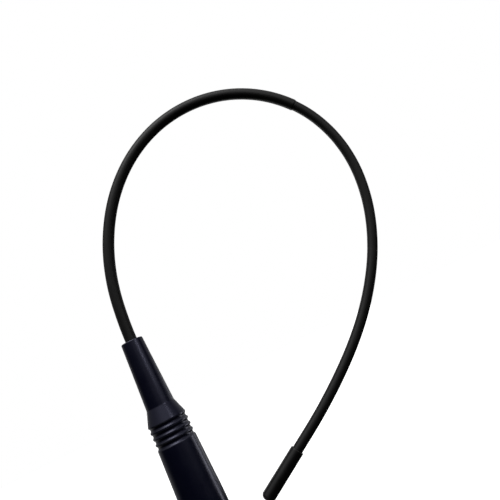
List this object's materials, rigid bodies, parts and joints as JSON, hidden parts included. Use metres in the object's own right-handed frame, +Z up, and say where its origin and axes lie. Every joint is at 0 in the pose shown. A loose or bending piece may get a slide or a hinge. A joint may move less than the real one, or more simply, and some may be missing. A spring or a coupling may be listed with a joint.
{
  "type": "flexible whip aerial",
  "caption": "Flexible whip aerial for a handheld radio: tapered moulded boot with grip ribs, bayonet plug below, and a thin jacketed whip bent over into a loop with a capped tip.",
  "frame": {"origin": "centre of the coupling collar's front face, which meets the radio", "axes": "+Z up the boot's axis away from the radio; the whip bends over in the XZ plane towards +X"},
  "size_m": [0.1002, 0.0144, 0.1455],
  "materials": {
    "boot": "satin moulded, blue-black",
    "whip_cover": "satin black jacket",
    "tip_plastic": "satin black",
    "nickel_plate": "nickel plated",
    "gold_plate": "gold plated",
    "spring_steel": "bright spring steel",
    "core_steel": "drawn wire",
    "white_insulation": "waxy white",
    "former_nylon": "natural nylon",
    "seal_rubber": "dull red silicone",
    "enamelled_wire": "enamelled copper",
    "capacitor_ceramic": "dipped ceramic"
  },
  "bodies": {
    "boot": {"base_boot": "boot", "base_seal": "seal_rubber", "connector_body": "nickel_plate", "outer_contact": "nickel_plate", "insulator": "white_insulation", "insulator_nut": "gold_plate", "centre_pin": "gold_plate", "contact_gasket": "seal_rubber", "retaining_ring": "spring_steel", "wave_spring": "spring_steel", "feed_wire": "enamelled_wire", "matching_capacitor": "capacitor_ceramic", "coil_former": "former_nylon", "matching_coil": "enamelled_wire", "coil_tail_wire": "enamelled_wire", "whip_ferrule": "gold_plate", "root_sleeve": "whip_cover", "root_core": "core_steel"},
    "washer": {"thrust_washer": "spring_steel"},
    "collar": {"coupling_collar": "nickel_plate"},
    "whip_01": {"whip_sleeve_01": "whip_cover", "core_wire_01": "core_steel"},
    "whip_02": {"whip_sleeve_02": "whip_cover", "core_wire_02": "core_steel"},
    "whip_03": {"whip_sleeve_03": "whip_cover", "core_wire_03": "core_steel"},
    "whip_04": {"whip_sleeve_04": "whip_cover", "core_wire_04": "core_steel"},
    "whip_05": {"whip_sleeve_05": "whip_cover", "core_wire_05": "core_steel"},
    "whip_06": {"whip_sleeve_06": "whip_cover", "core_wire_06": "core_steel"},
    "whip_07": {"whip_sleeve_07": "whip_cover", "core_wire_07": "core_steel"},
    "whip_08": {"whip_sleeve_08": "whip_cover", "core_wire_08": "core_steel"},
    "whip_09": {"whip_sleeve_09": "whip_cover", "core_wire_09": "core_steel"},
    "whip_10": {"whip_sleeve_10": "whip_cover", "core_wire_10": "core_steel"},
    "whip_11": {"whip_jacket_11": "whip_cover", "core_wire_11": "core_steel"},
    "whip_12": {"whip_jacket_12": "whip_cover", "core_wire_12": "core_steel"},
    "whip_13": {"whip_jacket_13": "whip_cover", "core_wire_13": "core_steel"},
    "whip_14": {"whip_jacket_14": "whip_cover", "core_wire_14": "core_steel"},
    "whip_15": {"whip_jacket_15": "whip_cover", "core_wire_15": "core_steel"},
    "whip_16": {"whip_jacket_16": "whip_cover", "core_wire_16": "core_steel"},
    "whip_17": {"whip_jacket_17": "whip_cover", "core_wire_17": "core_steel"},
    "whip_18": {"whip_jacket_18": "whip_cover", "core_wire_18": "core_steel", "tip_cap": "tip_plastic"}
  },
  "joints": [
    {"name": "collar_pull", "type": "slide", "parent": "boot", "child": "washer", "axis": [0, 0, -1], "range_m": [0, 0.0008], "stiffness_N_per_m": 4000, "springref_m": -0.0008, "deforming": ["wave_spring"]},
    {"name": "collar_spin", "type": "hinge", "parent": "washer", "child": "collar", "pos_m": [0, 0, 0], "axis": [0, 0, 1], "continuous": true},
    {"name": "whip_bend_01", "type": "hinge", "parent": "boot", "child": "whip_01", "pos_m": [0, 0, 0.084], "axis": [0, -1, 0], "range_deg": [0, 6.1]},
    {"name": "whip_bend_02", "type": "hinge", "parent": "whip_01", "child": "whip_02", "pos_m": [0.00149, 0, 0.09792], "axis": [0, -1, 0], "range_deg": [0, 11.2]},
    {"name": "whip_bend_03", "type": "hinge", "parent": "whip_02", "child": "whip_03", "pos_m": [0.00565, 0, 0.11129], "axis": [0, -1, 0], "range_deg": [0, 12.3]},
    {"name": "whip_bend_04", "type": "hinge", "parent": "whip_03", "child": "whip_04", "pos_m": [0.01257, 0, 0.12346], "axis": [0, -1, 0], "range_deg": [0, 13.6]},
    {"name": "whip_bend_05", "type": "hinge", "parent": "whip_04", "child": "whip_05", "pos_m": [0.02147, 0, 0.13294], "axis": [0, -1, 0], "range_deg": [0, 14.2]},
    {"name": "whip_bend_06", "type": "hinge", "parent": "whip_05", "child": "whip_06", "pos_m": [0.03157, 0, 0.1394], "axis": [0, -1, 0], "range_deg": [0, 14.2]},
    {"name": "whip_bend_07", "type": "hinge", "parent": "whip_06", "child": "whip_07", "pos_m": [0.04201, 0, 0.14287], "axis": [0, -1, 0], "range_deg": [0, 14.4]},
    {"name": "whip_bend_08", "type": "hinge", "parent": "whip_07", "child": "whip_08", "pos_m": [0.05299, 0, 0.14364], "axis": [0, -1, 0], "range_deg": [0, 15.1]},
    {"name": "whip_bend_09", "type": "hinge", "parent": "whip_08", "child": "whip_09", "pos_m": [0.06378, 0, 0.14152], "axis": [0, -1, 0], "range_deg": [0, 15.6]},
    {"name": "whip_bend_10", "type": "hinge", "parent": "whip_09", "child": "whip_10", "pos_m": [0.07361, 0, 0.13658], "axis": [0, -1, 0], "range_deg": [0, 15.6]},
    {"name": "whip_bend_11", "type": "hinge", "parent": "whip_10", "child": "whip_11", "pos_m": [0.08174, 0, 0.12918], "axis": [0, -1, 0], "range_deg": [0, 15.5]},
    {"name": "whip_bend_12", "type": "hinge", "parent": "whip_11", "child": "whip_12", "pos_m": [0.0876, 0, 0.11987], "axis": [0, -1, 0], "range_deg": [0, 15.5]},
    {"name": "whip_bend_13", "type": "hinge", "parent": "whip_12", "child": "whip_13", "pos_m": [0.09105, 0, 0.10838], "axis": [0, -1, 0], "range_deg": [0, 15.4]},
    {"name": "whip_bend_14", "type": "hinge", "parent": "whip_13", "child": "whip_14", "pos_m": [0.09135, 0, 0.09538], "axis": [0, -1, 0], "range_deg": [0, 14.7]},
    {"name": "whip_bend_15", "type": "hinge", "parent": "whip_14", "child": "whip_15", "pos_m": [0.08787, 0, 0.08079], "axis": [0, -1, 0], "range_deg": [0, 13.7]},
    {"name": "whip_bend_16", "type": "hinge", "parent": "whip_15", "child": "whip_16", "pos_m": [0.08013, 0, 0.06565], "axis": [0, -1, 0], "range_deg": [0, 13]},
    {"name": "whip_bend_17", "type": "hinge", "parent": "whip_16", "child": "whip_17", "pos_m": [0.06724, 0, 0.05036], "axis": [0, -1, 0], "range_deg": [0, 11.7]},
    {"name": "whip_bend_18", "type": "hinge", "parent": "whip_17", "child": "whip_18", "pos_m": [0.04838, 0, 0.03551], "axis": [0, -1, 0], "range_deg": [0, 7.6]}
  ],
  "couplings": [
    {"joint": "whip_bend_02", "follows": "whip_bend_01", "ratio": 1.8361},
    {"joint": "whip_bend_03", "follows": "whip_bend_01", "ratio": 2.0164},
    {"joint": "whip_bend_04", "follows": "whip_bend_01", "ratio": 2.2295},
    {"joint": "whip_bend_05", "follows": "whip_bend_01", "ratio": 2.3279},
    {"joint": "whip_bend_06", "follows": "whip_bend_01", "ratio": 2.3279},
    {"joint": "whip_bend_07", "follows": "whip_bend_01", "ratio": 2.3607},
    {"joint": "whip_bend_08", "follows": "whip_bend_01", "ratio": 2.4754},
    {"joint": "whip_bend_09", "follows": "whip_bend_01", "ratio": 2.5574},
    {"joint": "whip_bend_10", "follows": "whip_bend_01", "ratio": 2.5574},
    {"joint": "whip_bend_11", "follows": "whip_bend_01", "ratio": 2.541},
    {"joint": "whip_bend_12", "follows": "whip_bend_01", "ratio": 2.541},
    {"joint": "whip_bend_13", "follows": "whip_bend_01", "ratio": 2.5246},
    {"joint": "whip_bend_14", "follows": "whip_bend_01", "ratio": 2.4098},
    {"joint": "whip_bend_15", "follows": "whip_bend_01", "ratio": 2.2459},
    {"joint": "whip_bend_16", "follows": "whip_bend_01", "ratio": 2.1311},
    {"joint": "whip_bend_17", "follows": "whip_bend_01", "ratio": 1.918},
    {"joint": "whip_bend_18", "follows": "whip_bend_01", "ratio": 1.2459}
  ]
}
